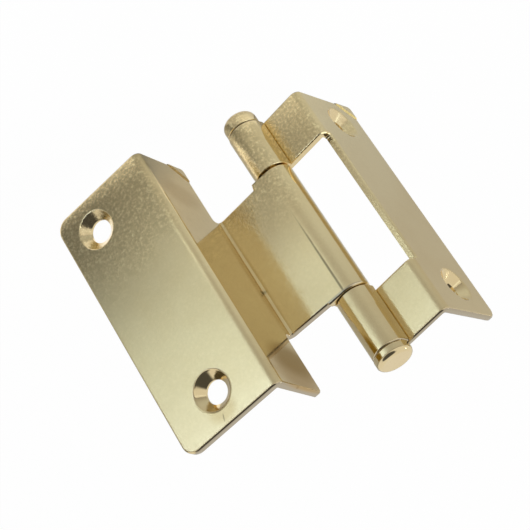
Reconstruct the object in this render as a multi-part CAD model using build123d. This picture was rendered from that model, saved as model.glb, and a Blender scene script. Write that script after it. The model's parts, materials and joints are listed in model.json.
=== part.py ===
from build123d import *
import math
import os

# The pin's axis is parallel to Z. The frame leaf's arms run along -X and its flange along +Y.
# Both leaves are the same steel sheet, and every profile below is drawn across the pin, round
# its axis at half the leaves' length. The finished pieces then move together, so that the
# part's origin lies midway between the frame flange's screw holes, on their lips' plane.

# Driving dimensions, in millimetres and degrees
hinge_length = 50.0
sheet = 1.25
pin_r = 2.0
running_clearance = 0.05     # centre knuckle on the pin, on the radius
seam_gap = 0.2               # between a curl's free end and its own leaf
seam_lip_r = 0.35            # rounds the end knuckles' free ends, beside the seam
opened_angle = 174.0         # between the leaves as modelled; 0 is shut

bend_outer_r = 1.45          # outside radius of the two convex bends
tongue_bend_inner_r = 0.5    # inside radius where the tongue leaves the web
edge_r = 0.42                # rolled edge that the press leaves on the show side
inside_corner_r = 0.5        # inner corners of the window and beside the tongue
knuckle_edge_r = 0.15        # ends of the end knuckles that face the centre knuckle

crank_height = 15.7          # tongue's show face to door flange's show face
web_offset = 11.8            # pin axis to the web's show face
door_flange_width = 20.1     # free edge to the web's show face
web_rise = 1.7               # tongue's show face to the web's free edge
closed_gap = 0.35            # between web and frame flange when shut
flush_step = 0.05            # frame flange's edge stops this short of the door flange

centre_knuckle_share = 0.545     # of the leaves' length
centre_knuckle_shift = -0.675    # middle of the centre knuckle above the origin
joint_gap_top = 0.2
joint_gap_bottom = 0.35
arm_setback_top = 0.65       # arm's inner edge behind its knuckle's end
arm_setback_bottom = 0.2
tongue_step_top = 0.25       # how much the tongue steps in beside its knuckle
tongue_step_bottom = 1.1
tongue_inset_top = 0.4       # how much narrower it is by the web
tongue_inset_bottom = 1.4
tongue_step_run = 0.3        # from the knuckle's flank
tongue_parallel = 0.6        # untapered length by the web
window_drop = 2.2            # window's long edge below the arms' show face

door_corner_r = 2.5
web_corner_r = 1.0
flange_corner_r = 2.1
joggle = 0.2                 # half-sheared corner stands this proud of its flange
joggle_along = 3.0           # its legs along the pin and across it
joggle_across = 4.6

screw_hole_r = 2.05
screw_head_r = 3.5
dimple = 0.7                 # hole's lip behind the sheet's back
dimple_wall = 0.7
screw_land = 0.45            # straight wall at the lip
rim_r = 0.6
door_hole_margin = 6.3       # leaf's ends to the hole centres
door_hole_shift = -0.2
door_hole_stagger = 3.1
door_hole_setback = 8.05     # free edge to the middle of the pair
frame_hole_margin = 6.0      # leaf's ends to the hole centres, before the shift
frame_hole_shift = -0.5
frame_hole_setback = 6.95    # free edge to the holes

head_r = 3.12                # made head, a dome at the bottom
head_height = 2.9
head_crown_r = 1.4
clench_r = 3.32              # end clenched over at the top, spread wider and flatter
clench_height = 1.9
clench_crown_r = 0.85
head_gap = 0.06              # each head's underside beyond its knuckle's end
head_underside_r = 0.15

# Sizes that follow
half_length = hinge_length / 2
end_knuckle_r = pin_r + sheet
centre_bore_r = pin_r + running_clearance
centre_knuckle_r = centre_bore_r + sheet
door_face = centre_knuckle_r + crank_height
web_edge = centre_knuckle_r + web_rise
flange_offset = web_offset - closed_gap
flange_edge = door_face - flush_step
window_edge = pin_r + window_drop
centre_knuckle_length = centre_knuckle_share * hinge_length
centre_top = centre_knuckle_shift + centre_knuckle_length / 2
centre_bottom = centre_knuckle_shift - centre_knuckle_length / 2
end_top = centre_top + joint_gap_top
end_bottom = centre_bottom - joint_gap_bottom
window_top = end_top + arm_setback_top
window_bottom = end_bottom - arm_setback_bottom
root_top = centre_top - tongue_inset_top
root_bottom = centre_bottom + tongue_inset_bottom
door_hole_z = half_length - door_hole_margin
frame_hole_z = half_length - frame_hole_margin
frame_hole_y = flange_edge - frame_hole_setback
bend_inner_r = bend_outer_r - sheet
tongue_bend_outer_r = tongue_bend_inner_r + sheet
diagonal = math.sqrt(0.5)


def slab(outline, low, high):
    """A closed outline drawn across the pin, extruded from one height to another."""
    return Pos(0, 0, low) * extrude(make_face(outline), high - low)


def block(x, y, z):
    """A box between pairs of limits."""
    size = [limits[1] - limits[0] for limits in (x, y, z)]
    middle = [sum(limits) / 2 for limits in (x, y, z)]
    return Pos(*middle) * Box(*size)


def curl_outline(inner_r, reach, side):
    """A knuckle rolled from the sheet, with the sheet running on to reach.

    The sheet leaves along side * X, tangent to the pin at -side * Y. The curl turns
    three quarters round the pin and closes with a straight flank on its own leaf."""
    outer_r = inner_r + sheet
    flank_end = inner_r - seam_gap

    def at(x, y):
        return (side * x, -side * y)

    return Wire(
        [
            Line(at(reach, outer_r), at(0, outer_r)),
            ThreePointArc(at(0, outer_r), at(-outer_r, 0), at(0, -outer_r)),
            ThreePointArc(
                at(0, -outer_r), at(outer_r * diagonal, -outer_r * diagonal), at(outer_r, 0)
            ),
            Line(at(outer_r, 0), at(outer_r, flank_end)),
            Line(at(outer_r, flank_end), at(inner_r, flank_end)),
            Line(at(inner_r, flank_end), at(inner_r, 0)),
            ThreePointArc(
                at(inner_r, 0), at(inner_r * diagonal, -inner_r * diagonal), at(0, -inner_r)
            ),
            ThreePointArc(at(0, -inner_r), at(-inner_r, 0), at(0, inner_r)),
            Line(at(0, inner_r), at(reach, inner_r)),
            Line(at(reach, inner_r), at(reach, outer_r)),
        ]
    )


def angle_outline(corner_x, corner_y, free_x, free_y):
    """An angle folded from the sheet, with its convex bend at a corner of its show side.

    One leg runs from the corner to free_x, the other to free_y."""
    sx = math.copysign(1, free_x - corner_x)
    sy = math.copysign(1, free_y - corner_y)

    def at(dx, dy):
        return (corner_x + sx * dx, corner_y + sy * dy)

    long_x = abs(free_x - corner_x)
    long_y = abs(free_y - corner_y)
    outer_bulge = bend_outer_r * (1 - diagonal)
    inner_bulge = bend_outer_r - bend_inner_r * diagonal
    return Wire(
        [
            Line(at(long_x, 0), at(bend_outer_r, 0)),
            ThreePointArc(at(bend_outer_r, 0), at(outer_bulge, outer_bulge), at(0, bend_outer_r)),
            Line(at(0, bend_outer_r), at(0, long_y)),
            Line(at(0, long_y), at(sheet, long_y)),
            Line(at(sheet, long_y), at(sheet, bend_outer_r)),
            ThreePointArc(
                at(sheet, bend_outer_r), at(inner_bulge, inner_bulge), at(bend_outer_r, sheet)
            ),
            Line(at(bend_outer_r, sheet), at(long_x, sheet)),
            Line(at(long_x, sheet), at(long_x, 0)),
        ]
    )


def tongue_bend_outline():
    """The web's foot and the concave bend that turns it into the tongue."""
    show = -centre_knuckle_r
    back = show + sheet
    outside = web_offset + sheet
    centre = (web_offset - tongue_bend_inner_r, show - tongue_bend_inner_r)

    def on_bend(radius):
        return (centre[0] + radius * diagonal, centre[1] + radius * diagonal)

    return Wire(
        [
            Line((centre[0], show), (centre[0], back)),
            ThreePointArc((centre[0], back), on_bend(tongue_bend_outer_r), (outside, centre[1])),
            Line((outside, centre[1]), (outside, -web_edge)),
            Line((outside, -web_edge), (web_offset, -web_edge)),
            Line((web_offset, -web_edge), (web_offset, centre[1])),
            ThreePointArc((web_offset, centre[1]), on_bend(tongue_bend_inner_r), (centre[0], show)),
        ]
    )


def dimple_solids(centre, outward):
    """The boss behind a dimpled screw hole, and the countersunk hole that goes through it.

    centre lies on the show face, and outward points away from the leaf."""
    place = Plane(origin=centre, z_dir=[-part for part in outward])
    depth = sheet + dimple
    cone_depth = depth - screw_land
    lip_r = screw_hole_r + dimple_wall
    boss = Pos(0, 0, sheet / 2) * Cylinder(
        lip_r + dimple, sheet, align=(Align.CENTER, Align.CENTER, Align.CENTER)
    )
    boss += Pos(0, 0, sheet) * Cone(
        lip_r + dimple, lip_r, dimple, align=(Align.CENTER, Align.CENTER, Align.MIN)
    )
    hole = Cone(
        screw_head_r, screw_hole_r, cone_depth, align=(Align.CENTER, Align.CENTER, Align.MIN)
    )
    hole += Cylinder(screw_hole_r, depth, align=(Align.CENTER, Align.CENTER, Align.MIN))
    return place * boss, place * hole


def add_screw_holes(leaf, centres, outward):
    """Dimples a leaf at each centre and softens each hole's rim."""
    for centre in centres:
        boss, hole = dimple_solids(centre, outward)
        leaf = leaf + boss - hole
    rims = [
        edge
        for edge in leaf.edges().filter_by(GeomType.CIRCLE)
        if abs(edge.radius - screw_head_r) < 0.001
    ]
    return fillet(rims, rim_r)


def outside_corner(x, y, z, axis, radius, toward):
    """The waste outside a rounded corner of a flat flange.

    The flange's normal is axis ("x" or "y"). toward gives, for the other in-plane
    direction and for Z, the sign that leads from the corner into the flange."""
    reach = radius + 1
    thick = 4 * sheet
    across, along = toward
    if axis == "x":
        span_y = sorted((y - across, y + across * radius))
        waste = block((x - thick, x + thick), span_y, sorted((z - along, z + along * radius)))
        keep = Pos(x, y + across * radius, z + along * radius)
        keep = keep * Rot(0, 90, 0) * Cylinder(radius, 2 * thick + reach)
    else:
        span_x = sorted((x - across, x + across * radius))
        waste = block(span_x, (y - thick, y + thick), sorted((z - along, z + along * radius)))
        keep = Pos(x + across * radius, y, z + along * radius)
        keep = keep * Rot(90, 0, 0) * Cylinder(radius, 2 * thick + reach)
    return waste - keep


def joggled_corner(leaf, show_x, free_y):
    """Half-shears the bottom free corner of a flange so that it stands proud by the joggle.

    The flange's show side faces -X, and the flange runs from free_y towards -Y."""
    low = -half_length
    leg_y = free_y - joggle_across
    leg_z = low + joggle_along
    corner = make_face(Plane.YZ * Polyline((free_y, low), (free_y, leg_z), (leg_y, low), close=True))
    proud = Pos(show_x - joggle, 0, 0) * extrude(corner, joggle + edge_r)
    proud -= outside_corner(show_x, free_y, low, "x", web_corner_r, (-1, 1))
    front = proud.faces().sort_by(Axis.X)[0]
    chord = front.edges().sort_by(SortBy.LENGTH)[-1]
    proud = fillet([edge for edge in front.edges() if edge != chord], edge_r)
    hollow = Pos(show_x + sheet - joggle, 0, 0) * extrude(corner, joggle)
    return leaf + proud - hollow


def round_inside(leaf, x, y, heights):
    """Rounds the sheet's inner corners that stand at y, through the flange at x."""
    corners = [
        edge
        for edge in leaf.edges().filter_by(Axis.X)
        if abs(edge.center().Y - y) < 0.001
        and abs(edge.center().X - x) < sheet
        and min(abs(edge.center().Z - z) for z in heights) < 0.001
    ]
    return fillet(corners, inside_corner_r)


def roll_edges(leaf, on_show):
    """Rolls the outline of a leaf's show side, the faces whose middles on_show accepts."""
    outline = []
    for face in leaf.faces():
        middle = face.position_at(0.5, 0.5)
        if abs(face.normal_at(middle).Z) > 0.5 or not on_show(middle.X, middle.Y):
            continue
        for edge in face.edges():
            if edge in outline:
                outline.remove(edge)
            else:
                outline.append(edge)
    return fillet(outline, edge_r)


def frame_show_side(x, y):
    """True on the frame leaf's show side: the arms' lower face, the bend and the flange."""
    bend_x = bend_outer_r - flange_offset
    bend = math.hypot(x - bend_x, y - pin_r - bend_outer_r)
    on_arm = abs(y - pin_r) < 0.001 and bend_x < x < 0
    on_bend = abs(bend - bend_outer_r) < 0.001 and x < bend_x
    return on_arm or on_bend or abs(x + flange_offset) < 0.001


def door_show_side(x, y):
    """True on the door leaf's show side: flange, web, bends, tongue and knuckle."""
    flat = abs(y + door_face) < 0.001 or abs(x - web_offset) < 0.001
    bend = math.hypot(x - web_offset - bend_outer_r, y + door_face - bend_outer_r)
    foot_x = web_offset - tongue_bend_inner_r
    foot = math.hypot(x - foot_x, y + centre_knuckle_r + tongue_bend_inner_r)
    on_bend = abs(bend - bend_outer_r) < 0.001 or abs(foot - tongue_bend_inner_r) < 0.001
    on_tongue = abs(y + centre_knuckle_r) < 0.001 and x < foot_x
    on_curl = abs(math.hypot(x, y) - centre_knuckle_r) < 0.001
    on_flank = abs(x - centre_knuckle_r) < 0.001 and abs(y) < centre_bore_r
    return flat or on_bend or on_tongue or on_curl or on_flank


def round_seams(leaf):
    """Rounds the outer corner of the end knuckles' free ends."""
    corners = [
        edge
        for edge in leaf.edges().filter_by(Axis.Z)
        if abs(edge.center().X + end_knuckle_r) < 0.001
        and abs(edge.center().Y - pin_r + seam_gap) < 0.001
    ]
    return fillet(corners, seam_lip_r)


def round_knuckle_ends(leaf, heights, radius):
    """Rounds the end knuckles' outside edges at the given heights."""
    ends = [
        edge
        for edge in leaf.edges().filter_by(GeomType.CIRCLE)
        if abs(edge.radius - end_knuckle_r) < 0.001
        and min(abs(edge.bounding_box().min.Z - z) for z in heights) < 0.001
        and edge.bounding_box().size.Z < 0.001
    ]
    return fillet(ends, radius)


def make_frame_leaf():
    """The leaf with two end knuckles, two arms, a window and a flange along +Y."""
    reach = flange_offset - bend_outer_r
    knuckles = slab(curl_outline(pin_r, reach, -1), -half_length, half_length)
    flange = slab(
        angle_outline(-flange_offset, pin_r, 0.5 - reach, flange_edge), -half_length, half_length
    )
    leaf = knuckles + flange
    beyond = flange_offset + 1
    curl_side = -end_knuckle_r - seam_gap
    leaf -= block((0, beyond), (-beyond, beyond), (end_bottom, end_top))
    leaf -= block((curl_side, 0), (-beyond, pin_r - seam_gap), (end_bottom, end_top))
    leaf -= block((-beyond, seam_gap), (pin_r - seam_gap / 2, window_edge), (window_bottom, window_top))
    for z, along in ((half_length, -1), (-half_length, 1)):
        radius = flange_corner_r if z > 0 else web_corner_r
        leaf -= outside_corner(-flange_offset, flange_edge, z, "x", radius, (-1, along))
    leaf = round_inside(leaf, -flange_offset, window_edge, (window_top, window_bottom))
    leaf = roll_edges(leaf, frame_show_side)
    leaf = round_seams(leaf)
    leaf = round_knuckle_ends(leaf, (half_length, -half_length), edge_r)
    leaf = round_knuckle_ends(leaf, (end_top, end_bottom), knuckle_edge_r)
    leaf = joggled_corner(leaf, -flange_offset, flange_edge)
    centres = [
        (-flange_offset, frame_hole_y, frame_hole_shift + side * frame_hole_z) for side in (1, -1)
    ]
    return add_screw_holes(leaf, centres, (-1, 0, 0))


def make_door_leaf():
    """The leaf with the centre knuckle, tongue, web and door flange, drawn shut at 180 degrees."""
    tongue_end = web_offset - tongue_bend_inner_r
    tongue = slab(curl_outline(centre_bore_r, tongue_end, 1), centre_bottom, centre_top)
    foot = slab(tongue_bend_outline(), root_bottom, root_top)
    tongue -= tongue_taper(tongue_end)
    upper = slab(
        angle_outline(web_offset, -door_face, web_offset + door_flange_width, -web_edge),
        -half_length,
        half_length,
    )
    leaf = tongue + foot + upper
    outer_x = web_offset + door_flange_width
    for z, along in ((half_length, -1), (-half_length, 1)):
        leaf -= outside_corner(outer_x, -door_face, z, "y", door_corner_r, (-1, along))
        leaf -= outside_corner(web_offset, -web_edge, z, "x", web_corner_r, (-1, along))
    leaf = round_inside(leaf, web_offset, -web_edge, (root_top, root_bottom))
    leaf = roll_edges(leaf, door_show_side)
    leaf = joggled_corner(leaf, web_offset, -web_edge)
    middle_x = outer_x - door_hole_setback
    centres = [
        (middle_x - side * door_hole_stagger / 2, -door_face, door_hole_shift + side * door_hole_z)
        for side in (1, -1)
    ]
    return add_screw_holes(leaf, centres, (0, -1, 0))


def tongue_taper(tongue_end):
    """The two slivers that step the tongue in beside its knuckle and taper it to the web."""
    start = centre_knuckle_r
    stepped = start + tongue_step_run
    finish = tongue_end - tongue_parallel
    past_end = tongue_end + 1
    waste = []
    for end, step, root in (
        (centre_top, -tongue_step_top, root_top),
        (centre_bottom, tongue_step_bottom, root_bottom),
    ):
        beyond = end + math.copysign(1, end)
        outline = Polyline(
            (start, end), (stepped, end + step), (finish, root), (past_end, root),
            (past_end, beyond), (start, beyond), close=True,
        )
        face = make_face(Plane.XZ * outline)
        waste.append(Pos(0, centre_knuckle_r, 0) * extrude(face, 4 * centre_knuckle_r, both=True))
    return waste


def pin_head(radius, height, crown_r):
    """A round head above the top end knuckle, with a rounded crown."""
    head = Cylinder(radius, height, align=(Align.CENTER, Align.CENTER, Align.MIN))
    rings = head.edges().filter_by(GeomType.CIRCLE).sort_by(Axis.Z)
    head = fillet(rings[-1], crown_r)
    rings = head.edges().filter_by(GeomType.CIRCLE).sort_by(Axis.Z)
    head = fillet(rings[0], head_underside_r)
    return Pos(0, 0, half_length + head_gap) * head


def make_pin():
    """The pin, with its made head below the leaves and its clenched end above them."""
    shank = Cylinder(pin_r, hinge_length + 2 * head_gap + 2 * head_underside_r)
    clenched = pin_head(clench_r, clench_height, clench_crown_r)
    made = pin_head(head_r, head_height, head_crown_r)
    return shank + clenched + Rot(180, 0, 0) * made


def single(shape):
    """The one solid of a shape that must be a single piece."""
    solids = shape.solids()
    if len(solids) != 1:
        raise ValueError(f"expected one solid, found {len(solids)}")
    return solids[0]


def main():
    os.makedirs("parts", exist_ok=True)
    from_straight = opened_angle - 180
    from_screws = Pos(flange_offset - sheet - dimple, -frame_hole_y, -frame_hole_shift)
    nodes = {
        "frame_leaf": make_frame_leaf(),
        "door_leaf": Rot(0, 0, from_straight) * make_door_leaf(),
        "hinge_pin": make_pin(),
    }
    for name, shape in nodes.items():
        piece = single(from_screws * shape)
        export_step(piece, f"parts/{name}.step")
        print(name, round(piece.volume, 2), "mm3")


main()
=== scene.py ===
import json
import math

import bpy
from mathutils import Matrix, Vector

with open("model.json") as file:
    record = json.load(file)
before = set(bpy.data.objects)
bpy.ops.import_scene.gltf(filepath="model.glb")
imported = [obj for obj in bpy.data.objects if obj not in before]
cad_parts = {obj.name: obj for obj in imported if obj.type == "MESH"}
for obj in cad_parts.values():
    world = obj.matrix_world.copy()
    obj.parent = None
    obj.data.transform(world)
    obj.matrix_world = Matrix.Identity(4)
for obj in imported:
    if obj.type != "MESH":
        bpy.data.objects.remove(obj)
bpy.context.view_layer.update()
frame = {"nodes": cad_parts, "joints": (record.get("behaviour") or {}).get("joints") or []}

MM = 0.001
# Lights, floor and camera are placed from the middle of the hinge pin.
PIN = Vector(frame["joints"][0]["pos_m"])
# The door leaf rests this far from straight, turned round the pin, in degrees.
DOOR_LEAF_TURN = -6.0
# A Mix node's colour sockets, which share their names with its other sockets.
MIX_ONE, MIX_OTHER, MIX_RESULT = 6, 7, 2

# Plating: its colour, that of its darker clouds, its roughness and spread, and its pits' depth.
SATIN = {
    "base": (0.83, 0.68, 0.395), "dark": (0.79, 0.63, 0.35), "rough": (0.12, 0.05), "pits": 0.25,
}
POLISHED = {
    "base": (0.84, 0.69, 0.405), "dark": (0.80, 0.64, 0.36), "rough": (0.10, 0.04), "pits": 0.2,
}
# Mark colours. The darkest also serves as a painted dark reflection, and the two browns as a
# painted dark brown reflection, where the marks below say so.
GRIME_AND_DARK_REFLECTION = (0.16, 0.125, 0.07)
TARNISH_AND_REFLECTION = (0.52, 0.34, 0.12)
REFLECTED_BROWN = (0.34, 0.19, 0.0)
DULL = (0.40, 0.35, 0.27)

# Marks on the plating are ellipsoids: middle and half sizes in millimetres from the pin before
# the door leaf is turned, with the tilt towards X in degrees between them, then the mark's
# colour and how much of it covers the plating.
CUT_ENDS = (
    ((0.0, 0.0, 25.0), 0, (200.0, 200.0, 0.35), DULL, 0.8),
    ((0.0, 0.0, -25.0), 0, (200.0, 200.0, 0.35), DULL, 0.8),
)
DOOR_MARKS = CUT_ENDS + (
    # a painted dark reflection along the roll's line beside the knuckle
    ((-0.1, -3.3, 9.0), 0, (0.27, 0.5, 16.0), GRIME_AND_DARK_REFLECTION, 0.75),
    # browner along the concave bend, and a nick in it
    ((11.5, -3.6, 0.0), 0, (0.9, 0.9, 20.0), TARNISH_AND_REFLECTION, 0.5),
    ((11.5, -3.9, 3.2), 0, (0.8, 0.9, 0.6), GRIME_AND_DARK_REFLECTION, 0.75),
    # a worn patch and a scratch below the near screw hole
    ((22.4, -19.0, 22.2), 0, (3.4, 0.9, 3.0), TARNISH_AND_REFLECTION, 0.4),
    ((22.9, -19.0, 23.45), 18.6, (0.16, 0.5, 0.9), GRIME_AND_DARK_REFLECTION, 0.6),
    # the tongue's near end
    ((6.7, -2.7, 12.62), 0, (14.0, 3.2, 0.45), DULL, 0.8),
    # a spot on the web's edge; a painted dark brown reflection at the web's near end, and a
    # darker patch at its far end
    ((12.0, -12.8, 25.0), 0, (0.5, 0.5, 0.5), GRIME_AND_DARK_REFLECTION, 0.6),
    ((12.0, -10.5, 21.5), 0, (0.9, 9.0, 6.5), TARNISH_AND_REFLECTION, 0.85),
    ((12.0, -9.0, 19.0), 0, (0.9, 8.5, 5.0), REFLECTED_BROWN, 0.85),
    ((12.0, -11.5, -17.0), 0, (0.9, 7.0, 4.0), TARNISH_AND_REFLECTION, 0.4),
)

FLOOR_SIZE = 6.0        # metres
FLOOR_HEIGHT = -30      # millimetres from the pin's middle
# The room is unlit round this direction, where the photographer stands. It darkens between
# these cosines, by this share.
DARK_SIDE = (0.05, -0.68, 0.73)
DARK_EDGE = (0.68, 0.84)
DARK_SHARE = 0.92


def feed(tree, socket, value):
    """Links an input to another node's output, or sets it to a plain value."""
    if isinstance(value, bpy.types.NodeSocket):
        tree.links.new(value, socket)
    else:
        socket.default_value = value


def add(tree, kind, **settings):
    """A node of the given kind, with its properties and unlinked inputs set."""
    node = tree.nodes.new(kind)
    for key, value in settings.items():
        if key in node.inputs:
            node.inputs[key].default_value = value
        else:
            setattr(node, key, value)
    return node


def new_material(name):
    """A fresh node material with its tree and shader."""
    material = bpy.data.materials.new(name)
    material.use_nodes = True
    tree = material.node_tree
    return material, tree, tree.nodes["Principled BSDF"]


def ramp(tree, source, stops):
    """A colour read from a value, with (position, colour) stops."""
    node = add(tree, "ShaderNodeValToRGB")
    feed(tree, node.inputs["Fac"], source)
    elements = node.color_ramp.elements
    for element, stop in ((elements[0], stops[0]), (elements[1], stops[-1])):
        element.position, element.color = stop[0], stop[1] + (1,)
    for position, colour in stops[1:-1]:
        elements.new(position).color = colour + (1,)
    return node.outputs["Color"]


def noise(tree, place, scale, detail, roughness):
    """A noise pattern over the piece, with its scale in features per metre."""
    node = add(tree, "ShaderNodeTexNoise", Scale=scale, Detail=detail, Roughness=roughness)
    feed(tree, node.inputs["Vector"], place)
    return node.outputs["Fac"]


def remap(tree, source, span, new_span):
    """A value eased from one span to another."""
    node = add(tree, "ShaderNodeMapRange", interpolation_type="SMOOTHSTEP")
    for key, value in zip(("From Min", "From Max", "To Min", "To Max"), span + new_span):
        node.inputs[key].default_value = value
    feed(tree, node.inputs["Value"], source)
    return node.outputs["Result"]


def combine(tree, operation, one, other):
    """A value worked out from two others."""
    node = add(tree, "ShaderNodeMath", operation=operation)
    feed(tree, node.inputs[0], one)
    feed(tree, node.inputs[1], other)
    return node.outputs[0]


def mix_colours(tree, factor, one, other):
    """One colour blended towards another."""
    node = add(tree, "ShaderNodeMix", data_type="RGBA")
    feed(tree, node.inputs["Factor"], factor)
    feed(tree, node.inputs[MIX_ONE], one)
    feed(tree, node.inputs[MIX_OTHER], other)
    return node.outputs[MIX_RESULT]


def mix_shaders(tree, factor, one, other):
    """One shader blended towards another."""
    node = add(tree, "ShaderNodeMixShader")
    feed(tree, node.inputs["Fac"], factor)
    feed(tree, node.inputs[1], one)
    feed(tree, node.inputs[2], other)
    return node.outputs["Shader"]


def seen_from(tree, place, middle, turn, reach=(1, 1, 1)):
    """A place measured from a middle, along turned axes and in units of a reach."""
    node = add(tree, "ShaderNodeMapping", vector_type="TEXTURE")
    node.inputs["Location"].default_value = middle
    node.inputs["Rotation"].default_value = turn
    node.inputs["Scale"].default_value = reach
    feed(tree, node.inputs["Vector"], place)
    return node.outputs["Vector"]


def part_of(tree, vector, axis):
    """One component of a vector."""
    node = add(tree, "ShaderNodeSeparateXYZ")
    feed(tree, node.inputs["Vector"], vector)
    return node.outputs[axis]


def bump(tree, height, strength, distance, under=None):
    """A bump of the given height pattern, on top of an earlier one."""
    node = add(tree, "ShaderNodeBump", Strength=strength, Distance=distance)
    feed(tree, node.inputs["Height"], height)
    if under:
        feed(tree, node.inputs["Normal"], under)
    return node.outputs["Normal"]


def marked(tree, place, colour, marks):
    """A colour with marks on it."""
    for middle, tilt, reach, tone, cover in marks:
        turn = (0, math.radians(tilt), 0)
        near = seen_from(tree, place, Vector(middle) * MM, turn, Vector(reach) * MM)
        away = add(tree, "ShaderNodeVectorMath", operation="LENGTH")
        feed(tree, away.inputs[0], near)
        share = remap(tree, away.outputs["Value"], (0.4, 1.0), (cover, 0.0))
        colour = mix_colours(tree, share, colour, tone + (1,))
    return colour


def plated(name, finish, marks=()):
    """Thin brass plating on rolled steel.

    The steel's grain shows through as fine bright and dark specks, most of all on the faces
    turned towards -Y over the half of the piece below its middle, on a faint long wave. They are
    put where the reflection is dark, so they are partly real grain and partly painted glints and
    shade. The colour and gloss are a little cloudy."""
    base, dark = finish["base"], finish["dark"]
    rough, spread = finish["rough"]
    material, tree, shader = new_material(name)
    spot = add(tree, "ShaderNodeTexCoord")
    place = spot.outputs["Object"]
    cloud = noise(tree, place, scale=90.0, detail=4.0, roughness=0.6)
    gloss = noise(tree, place, scale=700.0, detail=3.0, roughness=0.6)
    grain = noise(tree, place, scale=1900.0, detail=3.0, roughness=0.7)
    wave = noise(tree, place, scale=160.0, detail=1.0, roughness=0.4)

    drift = remap(tree, cloud, (0.3, 0.7), (-3 * MM, 3 * MM))
    height = combine(tree, "ADD", part_of(tree, place, "Z"), drift)
    # Painted glints and shade: the grain's specks are strongest on the -Y faces of the low half,
    # where the reflection is dark.
    low_half = remap(tree, height, (-15 * MM, -4 * MM), (1.0, 0.12))
    facing_minus_y = remap(tree, part_of(tree, spot.outputs["Normal"], "Y"), (-0.9, -0.4), (1.0, 0.15))
    grain_and_shade_share = combine(tree, "MULTIPLY", low_half, facing_minus_y)

    even = ramp(tree, cloud, [(0.3, dark), (0.62, base)])
    pit_tone = tuple(0.82 * part for part in dark)
    speck_tone = tuple(min(1.25 * part, 1.0) for part in base)
    specks = ramp(tree, grain, [(0.4, pit_tone), (0.54, dark), (0.66, speck_tone)])
    tint = mix_colours(tree, grain_and_shade_share, even, specks)
    leaf_place = seen_from(tree, place, PIN, (0, 0, math.radians(DOOR_LEAF_TURN)))
    feed(tree, shader.inputs["Base Color"], marked(tree, leaf_place, tint, marks))

    roughness = remap(tree, gloss, (0.3, 0.7), (rough - spread, rough + spread))
    feed(tree, shader.inputs["Roughness"], roughness)
    surface = bump(tree, wave, 0.05, 0.2 * MM)
    pits = combine(tree, "MULTIPLY", grain, grain_and_shade_share)
    surface = bump(tree, pits, finish["pits"], 0.3 * MM, surface)
    feed(tree, shader.inputs["Normal"], surface)
    shader.inputs["Metallic"].default_value = 1.0
    return material


def dress(node, material):
    """Gives every slot of a node the material."""
    for slot in frame["nodes"][node].material_slots:
        slot.material = material


dress("frame_leaf", plated("satin_plating", SATIN, CUT_ENDS))
dress("door_leaf", plated("marked_plating", SATIN, DOOR_MARKS))
dress("hinge_pin", plated("polished_plating", POLISHED))


def backdrop_white(tree, glow_kind, shaded, camera_share, mirror_share):
    """Adds the white background to a shaded surface, for camera rays and for mirrored ones."""
    glow = add(tree, glow_kind, Color=(1, 1, 1, 1), Strength=1.0)
    rays = add(tree, "ShaderNodeLightPath")
    seen = combine(tree, "MULTIPLY", rays.outputs["Is Camera Ray"], camera_share)
    mirrored = combine(tree, "MULTIPLY", rays.outputs["Is Glossy Ray"], mirror_share)
    total = combine(tree, "ADD", seen, mirrored)
    return mix_shaders(tree, total, shaded, glow.outputs[0])


def floor_material():
    """Pale matt floor, white to the camera but for the object's shadow."""
    material, tree, shader = new_material("pale_floor")
    shader.inputs["Base Color"].default_value = (0.80, 0.80, 0.79, 1)
    shader.inputs["Roughness"].default_value = 0.9
    seen = backdrop_white(tree, "ShaderNodeEmission", shader.outputs["BSDF"], 0.985, 0.09)
    feed(tree, tree.nodes["Material Output"].inputs["Surface"], seen)
    return material


bpy.ops.mesh.primitive_plane_add(
    size=FLOOR_SIZE, location=PIN + Vector((0, 0, FLOOR_HEIGHT)) * MM
)
floor = bpy.context.object
floor.name = "floor"
floor.data.materials.append(floor_material())


def softbox(name, place, aim, size, power, colour=(1, 1, 1)):
    """A square area lamp, placed and aimed in millimetres from the pin."""
    lamp = bpy.data.lights.new(name, "AREA")
    lamp.size = size * MM
    lamp.energy = power
    lamp.color = colour
    thing = bpy.data.objects.new(name, lamp)
    thing.location = PIN + Vector(place) * MM
    thing.rotation_euler = (Vector(aim) - Vector(place)).to_track_quat("-Z", "Y").to_euler()
    thing.visible_camera = False
    bpy.context.collection.objects.link(thing)
    return thing


# A large softbox behind, which only a smaller one shows for in the metal.
back = softbox("back_light", (-460, 690, 650), (0, 0, 0), 450, 7.9, (1.0, 0.98, 0.91))
back.visible_glossy = False
softbox("glint_light", (-600, 620, 650), (0, 0, 0), 130, 0.35)
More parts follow.
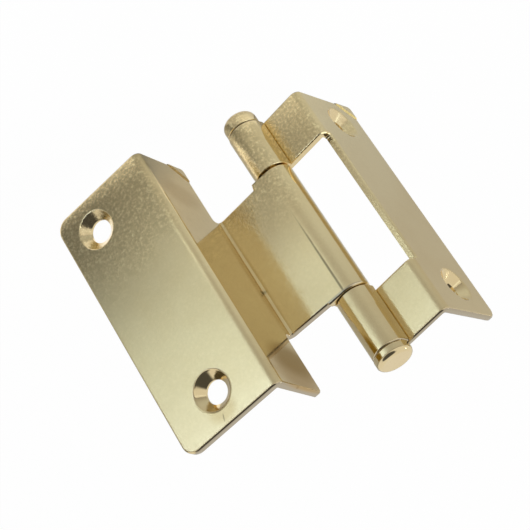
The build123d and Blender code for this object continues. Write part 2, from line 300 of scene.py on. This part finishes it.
# Small ones over the table in front and at the left, and two that point up at the far ends.
softbox("front_light", (40, -90, 40), (60, -190, -30), 25, 0.043, (0.66, 0.89, 1.0))
softbox("floor_light", (70, -200, 20), (70, -200, -30), 120, 0.135, (0.60, 0.75, 1.0))
softbox("tongue_light", (6, -70, -8), (6, -70, -30), 10, 0.0026, (0.80, 0.96, 1.0))
softbox("side_light", (-45, 0, 15), (-45, 0, -30), 60, 0.010, (0.7, 0.88, 1.0))
softbox("under_leaf", (24, -15, -29), (24, -15, 0), 26, 0.0014)
softbox("under_head", (-4, -2, -29.4), (-4, -2, 0), 14, 0.0002)
softbox("left_light", (-100, -45, 30), (-100, -45, -30), 80, 0.007, (0.7, 0.88, 1.0))

world = bpy.data.worlds.new("studio")
bpy.context.scene.world = world
world.use_nodes = True
sky = world.node_tree
walls = sky.nodes["Background"]
walls.inputs["Color"].default_value = (1, 1, 1, 1)
walls.inputs["Strength"].default_value = 0.05
lit = backdrop_white(sky, "ShaderNodeBackground", walls.outputs["Background"], 1.0, 0.82)
toward = add(sky, "ShaderNodeVectorMath", operation="DOT_PRODUCT")
feed(sky, toward.inputs[0], add(sky, "ShaderNodeTexCoord").outputs["Generated"])
toward.inputs[1].default_value = DARK_SIDE
dim = remap(sky, toward.outputs["Value"], DARK_EDGE, (0.0, DARK_SHARE))
mirrored = add(sky, "ShaderNodeLightPath").outputs["Is Glossy Ray"]
unlit = combine(sky, "MULTIPLY", dim, mirrored)
dark = add(sky, "ShaderNodeBackground", Color=(1, 1, 1, 1), Strength=0.02)
room = mix_shaders(sky, unlit, lit, dark.outputs["Background"])
feed(sky, sky.nodes["World Output"].inputs["Surface"], room)

# The camera stands as the photograph's did, close, with the pin's top end towards it.
camera_data = bpy.data.cameras.new("camera")
camera_data.sensor_width = 36.0
camera_data.lens = 123.413
camera_data.clip_start = 0.01
camera_data.clip_end = 20.0
camera = bpy.data.objects.new("camera", camera_data)
bpy.context.collection.objects.link(camera)
right = Vector((-0.65162, 0.58959, 0.47726))
up = Vector((-0.65524, -0.12051, -0.74575))
behind = right.cross(up)
turn = Matrix((right, up, behind)).transposed().to_4x4()
stand = PIN + Vector((-108.372, -248.585, 141.477)) * MM
camera.matrix_world = Matrix.Translation(stand) @ turn
bpy.context.scene.camera = camera
bpy.context.scene.view_settings.view_transform = "Standard"
